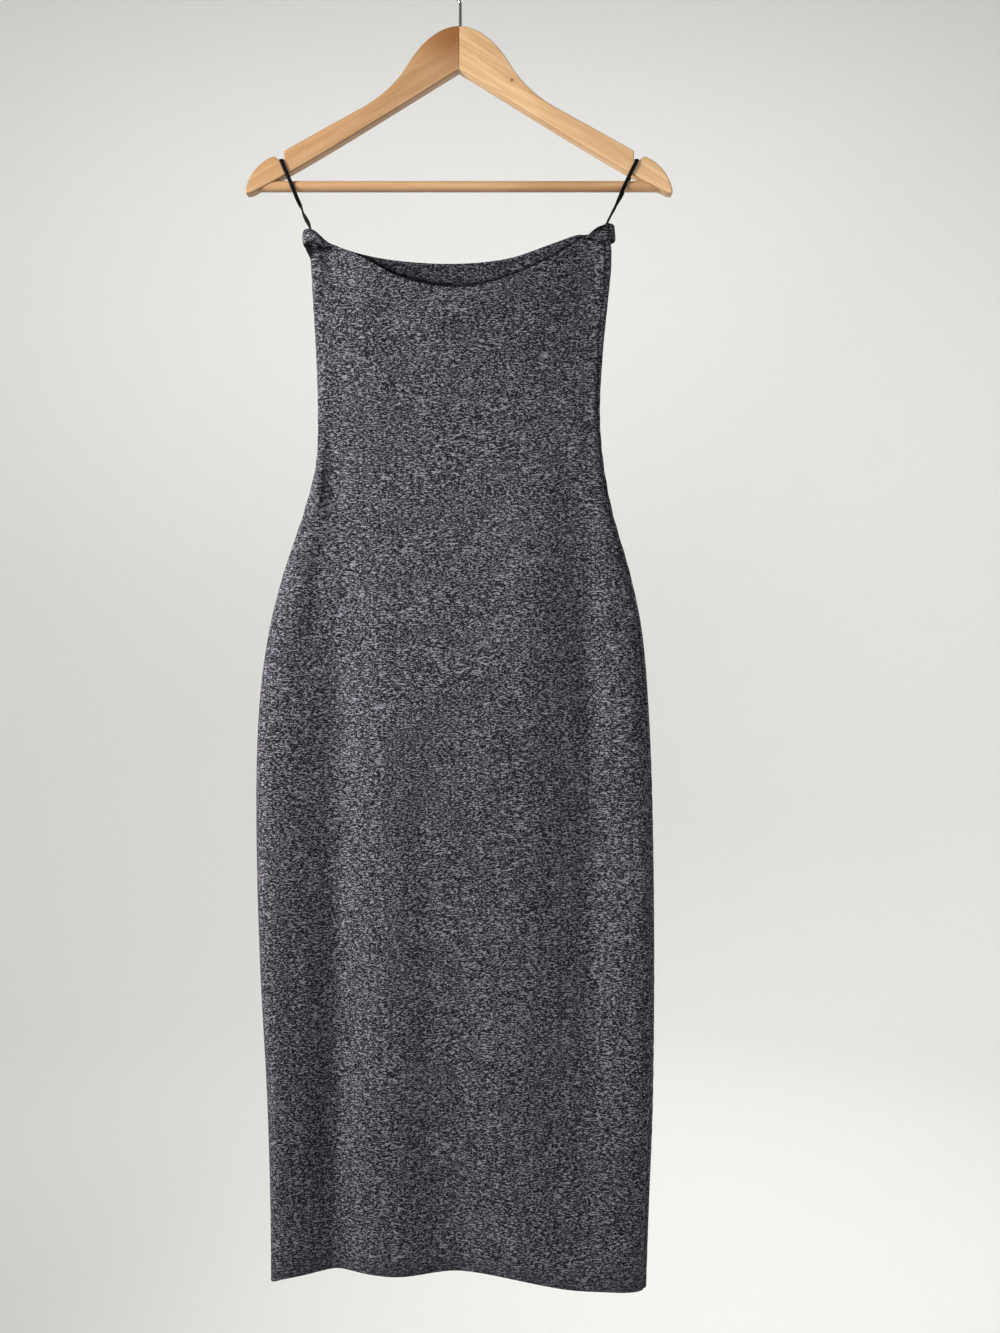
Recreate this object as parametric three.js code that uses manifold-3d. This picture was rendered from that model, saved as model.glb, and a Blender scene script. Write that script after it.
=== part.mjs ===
// A strapless knit midi dress hanging by two ribbon loops from a wooden hanger with a trouser bar.
// Millimetres, +Z up, +X to the viewer's right, the viewer at -Y. The origin is the seat of the hook's bow.
import * as THREE from 'three';
import { mergeVertices } from 'three/addons/utils/BufferGeometryUtils.js';
import Module from 'manifold-3d';

const wasm = await Module();
wasm.setup();

// Cloth, ribbon and clearances
const CLOTH = 1.5;
const SEAM_GAP = 0.3;
const RIBBON_WIDTH = 4.1;
const RIBBON_THICKNESS = 1.0;

// Heights of the levels at which the folds are given
const LEVELS = { neck: -320, waist: -490, hip: -760, thigh: -970, knee: -1180, hem: -1366 };

// The silhouette: the cloth's left and right edges, and how far forward (-) each side edge lies
const OUTLINE = [
  { at: 'corner', z: -270, left: -159.5, leftDepth: 0, right: 156.3, rightDepth: 0 },
  { at: 'armpit', z: -306, left: -155.5, leftDepth: 0, right: 157.9, rightDepth: 0 },
  { at: 'bust', z: -346, left: -153.2, leftDepth: 0, right: 154.4, rightDepth: 0 },
  { at: 'under bust', z: -398, left: -150.2, leftDepth: 0, right: 149.2, rightDepth: 0 },
  { at: 'waist', z: -463, left: -148.0, leftDepth: 0, right: 145.9, rightDepth: 0 },
  { at: 'low waist', z: -515, left: -149.5, leftDepth: 0, right: 149.5, rightDepth: 0 },
  { at: 'high hip', z: -567, left: -162.5, leftDepth: 0, right: 159.0, rightDepth: 0 },
  { at: 'upper hip', z: -632, left: -184.0, leftDepth: 0, right: 177.5, rightDepth: 0 },
  { at: 'mid hip', z: -690, left: -198.6, leftDepth: 0, right: 189.4, rightDepth: -0.5 },
  { at: 'hip', z: -763, left: -208.4, leftDepth: -1, right: 195.9, rightDepth: -1 },
  { at: 'full hip', z: -867, left: -212.0, leftDepth: -1, right: 200.2, rightDepth: -2 },
  { at: 'thigh', z: -1023, left: -208.6, leftDepth: -2, right: 202.0, rightDepth: -3 },
  { at: 'knee', z: -1180, left: -200.1, leftDepth: -3, right: 200.3, rightDepth: -5 },
  { at: 'calf', z: -1284, left: -196.8, leftDepth: -4, right: 196.0, rightDepth: -7 },
  { at: 'hem', z: -1366, left: -195.9, leftDepth: -5, right: 193.0, rightDepth: -8 },
];

// The lengthwise ridges and valleys of the front, left to right: [across, depth] at each level.
// sharp is 0 for a rounded line and 1 for a creased one
const FRONT_LINES = [
  { line: 'left turn', sharp: 0, neck: [-150, -6], waist: [-136.5, -7], hip: [-184, -18],
    thigh: [-186, -20], knee: [-182, -20], hem: [-180, -18] },
  { line: 'left valley', sharp: 1, neck: [-123, -9], waist: [-124, -8], hip: [-126, -8],
    thigh: [-126.5, -5], knee: [-126, -2], hem: [-128.5, 1] },
  { line: 'left ridge', sharp: 0, neck: [-76, -20], waist: [-77, -12], hip: [-72.5, -26],
    thigh: [-72.5, -27], knee: [-72.5, -25], hem: [-65.5, -20] },
  { line: 'centre valley', sharp: 0.3, neck: [-7, -25], waist: [-7.5, -13], hip: [-7, -27],
    thigh: [-7, -25], knee: [-7.5, -18], hem: [-3, -10] },
  { line: 'right ridge', sharp: 0, neck: [62, -21], waist: [57, -13], hip: [62, -28],
    thigh: [62, -29], knee: [57, -28], hem: [82.5, -28] },
  { line: 'right valley', sharp: 0.8, neck: [128, -7], waist: [124.5, -8], hip: [136.5, -14],
    thigh: [136.5, -15], knee: [136, -19], hem: [135, -31] },
  { line: 'right turn', sharp: 0, neck: [149.5, -6], waist: [137, -6], hip: [167, -20],
    thigh: [169, -22], knee: [168, -26], hem: [158.5, -32] },
];

// The same for the back, right to left
const BACK_LINES = [
  { line: 'right turn', sharp: 0, neck: [149, 5.5], waist: [132, 6], hip: [165, 15],
    thigh: [168, 16], knee: [164, 15], hem: [160, 15] },
  { line: 'right valley', sharp: 0.5, neck: [80, 10], waist: [72, 7], hip: [74, 11],
    thigh: [78, 8], knee: [80, 7], hem: [84, 8] },
  { line: 'centre ridge', sharp: 0, neck: [-5, 14], waist: [-20, 9], hip: [-28, 20],
    thigh: [-30, 20], knee: [-26, 18], hem: [-24, 18] },
  { line: 'left valley', sharp: 0.5, neck: [-90, 9], waist: [-92, 7], hip: [-108, 12],
    thigh: [-106, 10], knee: [-98, 9], hem: [-92, 10] },
  { line: 'left turn', sharp: 0, neck: [-150, 5.5], waist: [-134, 6], hip: [-180, 14],
    thigh: [-182, 15], knee: [-175, 14], hem: [-170, 14] },
];

// Top edge of the cloth as it shows, front and back, from corner to corner
const NECKLINE = [
  { x: -156, front: -272, back: -272 },
  { x: -137, front: -287, back: -285 },
  { x: -101, front: -306.5, back: -296.5 },
  { x: -60, front: -329, back: -302.5 },
  { x: 0, front: -340, back: -304 },
  { x: 52, front: -328, back: -299 },
  { x: 94, front: -308, back: -285.5 },
  { x: 137, front: -278, back: -271.5 },
  { x: 157, front: -268, back: -268 },
];

// Lower edge, front and back
const HEMLINE = [
  { x: -196, front: -1364, back: -1364 },
  { x: -180, front: -1356.5, back: -1358 },
  { x: -128, front: -1353, back: -1352 },
  { x: -60, front: -1353.5, back: -1350 },
  { x: 0, front: -1351, back: -1349 },
  { x: 60, front: -1354, back: -1351 },
  { x: 110, front: -1362, back: -1355 },
  { x: 160, front: -1363.5, back: -1361 },
  { x: 193, front: -1367, back: -1367 },
];

// Each side seam's distance in from the side edge: the right one on the front, the left one on the back
const SEAM_INSET = [
  { z: -270, left: 3, right: 4 },
  { z: -306, left: 3, right: 8 },
  { z: -463, left: 2.5, right: 2 },
  { z: -632, left: 5, right: 4 },
  { z: -1023, left: 6, right: 5 },
  { z: -1366, left: 5, right: 3 },
];

// The top edge is turned outward over itself at both corners, where the loops pull on it
const TURN = { band: 22, radius: 2.6, angle: THREE.MathUtils.degToRad(176), starts: 120, full: 150 };

// How the panels are divided: steps in each stretch between neighbouring lines, and rows
const FRONT_STEPS = [4, 4, 4, 3, 3, 4, 3];
const BACK_STEPS = [4, 4, 3, 3, 4];
const BODY_ROWS = 30;
const BAND_ROWS = 9;

// Hanger
const WOOD = { thickness: 12, edge: 1.4, joint: -0.8, crown: -63.2, crotch: -108.7, tip: 221.8 };
const BAR = { radius: 5.6, height: -228, reach: 214 };
const HOOK = { wire: 1.5, bow: 15.5, stemX: 0.4, stemFoot: -85, stemTop: -38, bore: 1.85, tip: -28 };
const FIT = 0.3;
// The notch in the top of each arm: inner wall, floor and outer lip, and where a loop sits in it
const NOTCH = { inner: 181.6, outer: 186.8, lip: 191.8, mouth: -192.8, floor: -202.2, lipHeight: -198.4 };
// A loop's tail, tab, bend over the rim and twist are measured from the rim of its corner
const LOOP = {
  notch: 184.2, standOff: 2.7, steps: 48, tail: 20, tab: 8, overRim: 2.4, twist: 16, flare: 1.2, lean: 1.6,
  flat: -238, wood: -222, bend: 2.1,
};

const COLOURS = {
  cloth: 0x545259,
  ribbon: 0x0d0c0e,
  leftWood: 0xb8834f,
  rightWood: 0xdcb789,
  bar: 0xc69e75,
  wire: 0x8d8d8c,
};

const part = new THREE.Group();

function addPiece(name, geometry, colour, roughness, metalness = 0) {
  const material = new THREE.MeshStandardMaterial({ color: colour, roughness, metalness });
  const mesh = new THREE.Mesh(geometry, material);
  mesh.name = name;
  part.add(mesh);
}

// Smooth reading of a table: a cubic through the rows, held level past both ends
function readTable(rows, key, column, at) {
  const last = rows.length - 1;
  const rising = rows[last][key] > rows[0][key] ? 1 : -1;
  if ((at - rows[0][key]) * rising <= 0) return rows[0][column];
  if ((at - rows[last][key]) * rising >= 0) return rows[last][column];
  let i = 0;
  while ((at - rows[i + 1][key]) * rising > 0) i += 1;
  const slope = (a, b) => (rows[b][column] - rows[a][column]) / (rows[b][key] - rows[a][key]);
  const step = rows[i + 1][key] - rows[i][key];
  const startSlope = slope(Math.max(i - 1, 0), i + 1) * step;
  const endSlope = slope(i, Math.min(i + 2, last)) * step;
  return hermite(rows[i][column], rows[i + 1][column], startSlope, endSlope, (at - rows[i][key]) / step);
}

function hermite(from, to, startSlope, endSlope, w) {
  const w2 = w * w;
  const w3 = w2 * w;
  return from * (2 * w3 - 3 * w2 + 1) + startSlope * (w3 - 2 * w2 + w)
    + to * (3 * w2 - 2 * w3) + endSlope * (w3 - w2);
}

// Each fold line as a table over height, so that it can be read at any level
function lineOverHeight(row) {
  const rows = Object.keys(LEVELS).map((level) => {
    const [x, y] = row[level];
    return { z: LEVELS[level], x, y };
  });
  return {
    sharp: row.sharp,
    at: (z) => ({ x: readTable(rows, 'z', 'x', z), y: readTable(rows, 'z', 'y', z) }),
  };
}

function sideEdge(side) {
  const inward = side === 'left' ? CLOTH / 2 : -CLOTH / 2;
  return {
    edge: true,
    at: (z) => ({
      x: readTable(OUTLINE, 'z', side, z) + inward,
      y: readTable(OUTLINE, 'z', `${side}Depth`, z),
    }),
  };
}

// The dress as one ring of lines: left edge, front lines, right edge, back lines and the left edge again.
// A place on the ring is a number: the line's index plus the way to the next line
const leftEdge = sideEdge('left');
const rightEdge = sideEdge('right');
const RING = [
  leftEdge, ...FRONT_LINES.map(lineOverHeight), rightEdge, ...BACK_LINES.map(lineOverHeight), leftEdge,
];
const RIGHT_PLACE = FRONT_LINES.length + 1;
const FULL_TURN = RING.length - 1;

function ringPoint(place, z) {
  const wrapped = place < 0 ? place + FULL_TURN : place;
  const index = Math.min(Math.floor(wrapped), FULL_TURN - 1);
  const w = wrapped - index;
  const from = RING[index];
  const to = RING[index + 1];
  const a = from.at(z);
  const b = to.at(z);
  const turn = w * Math.PI / 2;
  if (from.edge) {
    return { x: b.x - (b.x - a.x) * Math.cos(turn), y: a.y + (b.y - a.y) * Math.sin(turn) };
  }
  if (to.edge) {
    return { x: a.x + (b.x - a.x) * Math.sin(turn), y: b.y + (a.y - b.y) * Math.cos(turn) };
  }
  const rise = 1.6 * (b.y - a.y);
  return { x: a.x + (b.x - a.x) * w, y: hermite(a.y, b.y, from.sharp * rise, to.sharp * rise, w) };
}

const isFront = (place) => place >= 0 && place <= RIGHT_PLACE;

function edgeHeight(table, place, level) {
  return readTable(table, 'x', isFront(place) ? 'front' : 'back', ringPoint(place, level).x);
}

// Length of cloth turned over at a place of the top edge
function turnedLength(place) {
  const across = Math.abs(ringPoint(place, LEVELS.neck).x);
  return TURN.band * THREE.MathUtils.smoothstep(across, TURN.starts, TURN.full);
}

// The middle of the cloth: up runs from 0 at the hem to 1 where the top band starts and 2 at its raw edge
function clothPoint(place, up) {
  const turned = turnedLength(place);
  const straight = TURN.band - turned;
  const fullRise = TURN.radius * Math.sin(Math.min(turned / TURN.radius, Math.PI / 2));
  const bandFoot = edgeHeight(NECKLINE, place, LEVELS.neck) - straight - fullRise;
  const hem = edgeHeight(HEMLINE, place, LEVELS.hem);
  if (up <= 1) {
    const z = hem + (bandFoot - hem) * up;
    const { x, y } = ringPoint(place, z);
    return new THREE.Vector3(x, y, z);
  }
  const run = (up - 1) * TURN.band;
  const foot = ringPoint(place, bandFoot);
  const curled = Math.max(run - straight, 0);
  const bend = Math.min(curled / TURN.radius, TURN.angle);
  const flap = curled - bend * TURN.radius;
  const rise = Math.min(run, straight) + TURN.radius * Math.sin(bend) + flap * Math.cos(bend);
  const out = TURN.radius * (1 - Math.cos(bend)) + flap * Math.sin(bend);
  const facing = outwardOnRing(place, bandFoot);
  return new THREE.Vector3(foot.x + facing.x * out, foot.y + facing.y * out, bandFoot + rise);
}

function outwardOnRing(place, z) {
  const step = 0.02;
  const a = ringPoint(place - step, z);
  const b = ringPoint(place + step, z);
  return new THREE.Vector2(b.y - a.y, a.x - b.x).normalize();
}

function clothNormal(place, up) {
  const along = 0.02;
  const rise = 0.004;
  const upFrom = Math.max(up - rise, 0);
  const upTo = Math.min(up + rise, 2);
  const across = clothPoint(place + along, up).sub(clothPoint(place - along, up));
  const upward = clothPoint(place, upTo).sub(clothPoint(place, upFrom));
  return across.cross(upward).normalize();
}

// Places of the two side seams at a height
function seamPlaces(z) {
  const share = (side, edge, line) => {
    const width = Math.abs(edge.at(z).x - line.at(z).x);
    const inset = Math.min(readTable(SEAM_INSET, 'z', side, z), width * 0.8);
    return 1 - Math.asin(1 - inset / width) / (Math.PI / 2);
  };
  return {
    left: -share('left', leftEdge, RING[FULL_TURN - 1]),
    right: RIGHT_PLACE - share('right', rightEdge, RING[RIGHT_PLACE - 1]),
  };
}

// A panel is a list of columns, each a function from height to its place on the ring
function spread(from, to, steps) {
  return Array.from({ length: steps }, (unused, i) => (z) => from(z) + (to(z) - from(z)) * i / steps);
}

const fixed = (place) => () => place;

function frontColumns() {
  const left = (z) => seamPlaces(z).left;
  const right = (z) => seamPlaces(z).right;
  const columns = spread(left, fixed(0), 2);
  FRONT_STEPS.forEach((steps, i) => columns.push(...spread(fixed(i), fixed(i + 1), steps)));
  columns.push(...spread(fixed(RIGHT_PLACE - 1), right, 3), right);
  return columns;
}

function backColumns() {
  const right = (z) => seamPlaces(z).right;
  const left = (z) => seamPlaces(z).left + FULL_TURN;
  const columns = spread(right, fixed(RIGHT_PLACE), 3);
  BACK_STEPS.forEach((steps, i) => {
    columns.push(...spread(fixed(RIGHT_PLACE + i), fixed(RIGHT_PLACE + i + 1), steps));
  });
  columns.push(...spread(fixed(FULL_TURN - 1), left, 3), left);
  return columns;
}

// Points of one column, outer and inner, with the panel's own side edges drawn back for the seam gap
function columnPoints(column, up, edgeSide) {
  const z = clothPoint(column(LEVELS.hip), Math.min(up, 1)).z;
  const place = column(z);
  const middle = clothPoint(place, up);
  if (edgeSide !== 0) {
    const inward = clothPoint(place - edgeSide * 0.05, up).sub(middle).normalize();
    middle.addScaledVector(inward, SEAM_GAP / 2);
  }
  const facing = clothNormal(place, up).multiplyScalar(CLOTH / 2);
  return { outer: middle.clone().add(facing), inner: middle.clone().sub(facing) };
}

function panel(columns) {
  const ups = [];
  for (let row = 0; row < BODY_ROWS; row += 1) ups.push(row / BODY_ROWS);
  for (let row = 0; row <= BAND_ROWS; row += 1) ups.push(1 + row / BAND_ROWS);
  const last = columns.length - 1;
  const grid = columns.map((column, i) => {
    const edgeSide = i === 0 ? -1 : Number(i === last);
    return ups.map((up) => columnPoints(column, up, edgeSide));
  });
  return wallFromGrid(grid);
}

// A closed wall from a grid of outer and inner points
function wallFromGrid(grid) {
  const columns = grid.length;
  const rows = grid[0].length;
  const positions = [];
  grid.forEach((column) => column.forEach(({ outer }) => positions.push(...outer)));
  grid.forEach((column) => column.forEach(({ inner }) => positions.push(...inner)));
  const outerAt = (i, j) => i * rows + j;
  const innerAt = (i, j) => columns * rows + i * rows + j;
  const faces = [];
  const quad = (a, b, c, d) => faces.push(a, b, c, a, c, d);
  for (let i = 0; i < columns - 1; i += 1) {
    for (let j = 0; j < rows - 1; j += 1) {
      quad(outerAt(i, j), outerAt(i + 1, j), outerAt(i + 1, j + 1), outerAt(i, j + 1));
      quad(innerAt(i, j), innerAt(i, j + 1), innerAt(i + 1, j + 1), innerAt(i + 1, j));
    }
    quad(outerAt(i, 0), innerAt(i, 0), innerAt(i + 1, 0), outerAt(i + 1, 0));
    quad(outerAt(i, rows - 1), outerAt(i + 1, rows - 1), innerAt(i + 1, rows - 1), innerAt(i, rows - 1));
  }
  for (let j = 0; j < rows - 1; j += 1) {
    quad(outerAt(0, j), outerAt(0, j + 1), innerAt(0, j + 1), innerAt(0, j));
    const i = columns - 1;
    quad(outerAt(i, j), innerAt(i, j), innerAt(i, j + 1), outerAt(i, j + 1));
  }
  return indexedGeometry(positions, faces);
}

function indexedGeometry(positions, faces) {
  const geometry = new THREE.BufferGeometry();
  geometry.setAttribute('position', new THREE.Float32BufferAttribute(positions, 3));
  geometry.setIndex(faces);
  return geometry;
}

// A flat ribbon along a smooth route: each row gives a point and the turn of its width from the X axis
function ribbon(route, steps) {
  const points = route.map(({ at }) => new THREE.Vector3(...at));
  const curve = new THREE.CatmullRomCurve3(points, false, 'centripetal');
  const positions = [];
  for (let i = 0; i <= steps; i += 1) {
    const t = i / steps;
    ribbonSection(curve.getPoint(t), curve.getTangent(t), turnAlong(route, t))
      .forEach((point) => positions.push(...point));
  }
  const faces = [];
  for (let i = 0; i < steps; i += 1) {
    for (let side = 0; side < 4; side += 1) {
      const a = i * 4 + side;
      const b = i * 4 + (side + 1) % 4;
      faces.push(a, b, b + 4, a, b + 4, a + 4);
    }
  }
  faces.push(0, 3, 2, 0, 2, 1);
  const end = steps * 4;
  faces.push(end, end + 1, end + 2, end, end + 2, end + 3);
  return indexedGeometry(positions, faces);
}

function turnAlong(route, t) {
  const stretch = Math.min(Math.floor(t * (route.length - 1)), route.length - 2);
  const w = t * (route.length - 1) - stretch;
  return THREE.MathUtils.lerp(route[stretch].turn, route[stretch + 1].turn, w);
}

// The four corners of the ribbon at one point, its width turned by so many degrees from the X axis
function ribbonSection(centre, along, turn) {
  const angle = THREE.MathUtils.degToRad(turn);
  const width = new THREE.Vector3(Math.cos(angle), Math.sin(angle), 0);
  width.addScaledVector(along, -width.dot(along)).normalize();
  const through = new THREE.Vector3().crossVectors(along, width);
  const corner = (across, deep) => centre.clone()
    .addScaledVector(width, across * RIBBON_WIDTH / 2)
    .addScaledVector(through, deep * RIBBON_THICKNESS / 2);
  return [corner(-1, -1), corner(1, -1), corner(1, 1), corner(-1, 1)];
}

// A hanger loop: both ends lie inside the side of the top edge and the bend rests in the arm's notch.
// It goes up the front of the arm and down the back, with a quarter turn between the cloth and the wood
function loopRoute(side, edge) {
  const inside = -side;
  const rim = readTable(NECKLINE, 'x', 'front', edge.at(LEVELS.neck).x);
  const end = rim - LOOP.tail;
  const tab = rim - LOOP.tab;
  const overRim = rim + LOOP.overRim;
  const twist = rim + LOOP.twist;
  const outer = (z, more = 0) => edge.at(z).x + inside * (LOOP.standOff + more);
  const inner = (z, more = 0) => outer(z, more + RIBBON_THICKNESS + FIT);
  const notchX = WOOD.joint + side * LOOP.notch;
  const reach = WOOD.thickness / 2 + RIBBON_THICKNESS / 2 + 2 * FIT;
  const seat = NOTCH.floor + RIBBON_THICKNESS / 2 + FIT;
  const bend = LOOP.bend;
  const lean = (z) => THREE.MathUtils.mapLinear(z, overRim, NOTCH.floor, outer(rim, -LOOP.lean), notchX);
  return [
    { at: [outer(end), 0, end], turn: 90 },
    { at: [outer(tab), 0, tab], turn: 90 },
    { at: [outer(rim, -LOOP.flare), -0.8, overRim], turn: 90 },
    { at: [lean(twist), -3.4, twist], turn: 80 },
    { at: [lean(LOOP.flat), 1 - reach, LOOP.flat], turn: 20 },
    { at: [lean(LOOP.wood), -reach, LOOP.wood], turn: 0 },
    { at: [notchX, -reach, seat - bend], turn: 0 },
    { at: [notchX, bend - reach, seat], turn: 0 },
    { at: [notchX, 0, seat], turn: 0 },
    { at: [notchX, reach - bend, seat], turn: 0 },
    { at: [notchX, reach, seat - bend], turn: 0 },
    { at: [lean(LOOP.wood), reach, LOOP.wood], turn: 0 },
    { at: [lean(LOOP.flat), reach - 1, LOOP.flat], turn: -20 },
    { at: [lean(twist) + inside * (RIBBON_THICKNESS + FIT), 3.4, twist], turn: -80 },
    { at: [inner(rim, -LOOP.flare), 0.8, overRim], turn: -90 },
    { at: [inner(tab), 0, tab], turn: -90 },
    { at: [inner(end), 0, end], turn: -90 },
  ];
}

function toSolid(geometry) {
  geometry.deleteAttribute('normal');
  geometry.deleteAttribute('uv');
  const merged = mergeVertices(geometry, 1e-4);
  const mesh = new wasm.Mesh({
    numProp: 3,
    vertProperties: new Float32Array(merged.attributes.position.array),
    triVerts: new Uint32Array(merged.index.array),
  });
  return new wasm.Manifold(mesh);
}

function toGeometry(solid) {
  const { vertProperties, triVerts } = solid.getMesh();
  return indexedGeometry(Array.from(vertProperties), Array.from(triVerts));
}

// The outline of one arm, from the joint at the crown out to the tip and back along the underside.
// Each bend is drawn by its distances from the joint and its heights
function armOutline(side) {
  const x = (value) => WOOD.joint + side * value;
  const joint = SEAM_GAP / 2;
  const shape = new THREE.Shape();
  shape.moveTo(x(joint), WOOD.crown);
  shape.bezierCurveTo(x(24), WOOD.crown, x(44), -87, x(53), -102.5);
  shape.bezierCurveTo(x(62), -118, x(77.5), -134.5, x(99.6), -147.2);
  shape.quadraticCurveTo(x(138), -168, x(NOTCH.inner), NOTCH.mouth);
  shape.lineTo(x(NOTCH.inner), NOTCH.floor);
  shape.lineTo(x(NOTCH.outer), NOTCH.floor);
  shape.lineTo(x(NOTCH.lip), NOTCH.lipHeight);
  shape.bezierCurveTo(x(204), -201.5, x(219.5), -216, x(WOOD.tip), -235);
  shape.quadraticCurveTo(x(WOOD.tip), -238.5, x(215), -236.3);
  shape.bezierCurveTo(x(150), -203.5, x(72), -152.5, x(joint), WOOD.crotch);
  shape.closePath();
  return shape;
}

// An upright plate of an outline, its thickness along Y and centred on the hanger
function plate(shape, thickness, edge) {
  const depth = thickness - 2 * edge;
  const geometry = new THREE.ExtrudeGeometry(shape, {
    depth,
    curveSegments: 7,
    bevelEnabled: edge > 0,
    bevelThickness: edge,
    bevelSize: edge,
    bevelOffset: -edge,
    bevelSegments: 2,
  });
  geometry.translate(0, 0, -depth / 2);
  geometry.rotateX(Math.PI / 2);
  return toSolid(geometry);
}

function stemBore() {
  const length = WOOD.crown - HOOK.stemFoot + 4;
  const geometry = new THREE.CylinderGeometry(HOOK.bore, HOOK.bore, length, 16);
  geometry.rotateX(Math.PI / 2);
  geometry.translate(HOOK.stemX, 0, HOOK.stemFoot - FIT + length / 2);
  return toSolid(geometry);
}

function hangerArm(side) {
  return toGeometry(plate(armOutline(side), WOOD.thickness, WOOD.edge).subtract(stemBore()));
}

// The trouser bar, its ends coped to the underside of the arms
function trouserBar() {
  const geometry = new THREE.CylinderGeometry(BAR.radius, BAR.radius, 2 * BAR.reach, 20);
  geometry.rotateZ(Math.PI / 2);
  geometry.translate(WOOD.joint, 0, BAR.height);
  const cope = (side) => plate(armOutline(side), 2 * WOOD.thickness, 0)
    .translate([-side * FIT / 2, 0, -FIT]);
  return toGeometry(toSolid(geometry).subtract(cope(-1)).subtract(cope(1)));
}

// The wire hook: a stem in the wood, a swing to the left, and a bow open on the right
class Bow extends THREE.Curve {
  getPoint(t) {
    const radius = HOOK.bow + HOOK.wire;
    const angle = THREE.MathUtils.degToRad(THREE.MathUtils.lerp(180, HOOK.tip, t));
    return new THREE.Vector3(radius * Math.cos(angle), 0, radius * Math.sin(angle) - HOOK.bow);
  }
}

function hangerHook() {
  const reach = HOOK.bow + HOOK.wire;
  const foot = new THREE.Vector3(HOOK.stemX, 0, HOOK.stemFoot);
  const top = new THREE.Vector3(HOOK.stemX, 0, HOOK.stemTop);
  const swing = [
    top,
    new THREE.Vector3(HOOK.stemX, 0, HOOK.stemTop + 8),
    new THREE.Vector3(-reach, 0, -HOOK.bow - 13.5),
    new THREE.Vector3(-reach, 0, -HOOK.bow),
  ];
  const path = new THREE.CurvePath();
  path.add(new THREE.LineCurve3(foot, top));
  path.add(new THREE.CubicBezierCurve3(...swing));
  path.add(new Bow());
  const section = new THREE.Shape();
  section.absarc(0, 0, HOOK.wire, 0, 2 * Math.PI);
  const sweep = { extrudePath: path, steps: 44, curveSegments: 5, bevelEnabled: false };
  return new THREE.ExtrudeGeometry(section, sweep);
}

const clothFinish = [COLOURS.cloth, 0.95];
const ribbonFinish = [COLOURS.ribbon, 0.4];
addPiece('front_panel', panel(frontColumns()), ...clothFinish);
addPiece('back_panel', panel(backColumns()), ...clothFinish);
addPiece('loop_left', ribbon(loopRoute(-1, leftEdge), LOOP.steps), ...ribbonFinish);
addPiece('loop_right', ribbon(loopRoute(1, rightEdge), LOOP.steps), ...ribbonFinish);
addPiece('hanger_arm_left', hangerArm(-1), COLOURS.leftWood, 0.45);
addPiece('hanger_arm_right', hangerArm(1), COLOURS.rightWood, 0.45);
addPiece('hanger_bar', trouserBar(), COLOURS.bar, 0.45);
addPiece('hanger_hook', hangerHook(), COLOURS.wire, 0.3, 1);

export default part;
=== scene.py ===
"""A strapless knit dress on a wooden hanger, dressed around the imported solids.

Tables and sizes are in millimetres, in the part's frame: +Z up, +X to the viewer's right, the viewer at -Y.
Points are turned into metres only where a mesh is made. Lights, the stage and places on the
wood are in metres.
"""
import math

import bpy
import numpy as np
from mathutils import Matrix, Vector


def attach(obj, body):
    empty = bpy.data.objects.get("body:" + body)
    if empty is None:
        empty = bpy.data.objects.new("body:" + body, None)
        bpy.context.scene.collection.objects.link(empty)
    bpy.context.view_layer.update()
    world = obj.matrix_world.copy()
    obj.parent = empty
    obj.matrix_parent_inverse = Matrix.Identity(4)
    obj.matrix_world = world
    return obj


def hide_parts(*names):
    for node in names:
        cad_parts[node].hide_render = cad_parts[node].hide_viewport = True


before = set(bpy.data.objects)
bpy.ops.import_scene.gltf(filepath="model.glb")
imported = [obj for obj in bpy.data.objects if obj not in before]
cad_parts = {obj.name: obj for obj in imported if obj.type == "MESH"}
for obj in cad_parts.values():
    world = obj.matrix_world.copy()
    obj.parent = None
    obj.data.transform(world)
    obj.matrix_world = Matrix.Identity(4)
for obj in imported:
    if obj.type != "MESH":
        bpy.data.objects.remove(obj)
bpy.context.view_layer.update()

MM = 0.001


def table(columns, *rows):
    """A small table as one array for each named column."""
    return dict(zip(columns.split(), np.array(rows, float).T))


# Cloth
CLOTH = 1.5
SEAM_GAP = 0.3
LEVELS = {"neck": -320, "waist": -490, "hip": -760, "thigh": -970, "knee": -1180, "hem": -1366}

# The cloth's left and right edges, and how far forward (-) each side edge lies
OUTLINE = table(
    "z left left_depth right right_depth",
    (-270, -159.5, 0, 156.3, 0),
    (-306, -155.5, 0, 157.9, 0),
    (-346, -153.2, 0, 154.4, 0),
    (-398, -150.2, 0, 149.2, 0),
    (-463, -148.0, 0, 145.9, 0),
    (-515, -149.5, 0, 149.5, 0),
    (-567, -162.5, 0, 159.0, 0),
    (-632, -184.0, 0, 177.5, 0),
    (-690, -198.6, 0, 189.4, -0.5),
    (-763, -208.4, -1, 195.9, -1),
    (-867, -212.0, -1, 200.2, -2),
    (-1023, -208.6, -2, 202.0, -3),
    (-1180, -200.1, -3, 200.3, -5),
    (-1284, -196.8, -4, 196.0, -7),
    (-1366, -195.9, -5, 193.0, -8),
)

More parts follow.
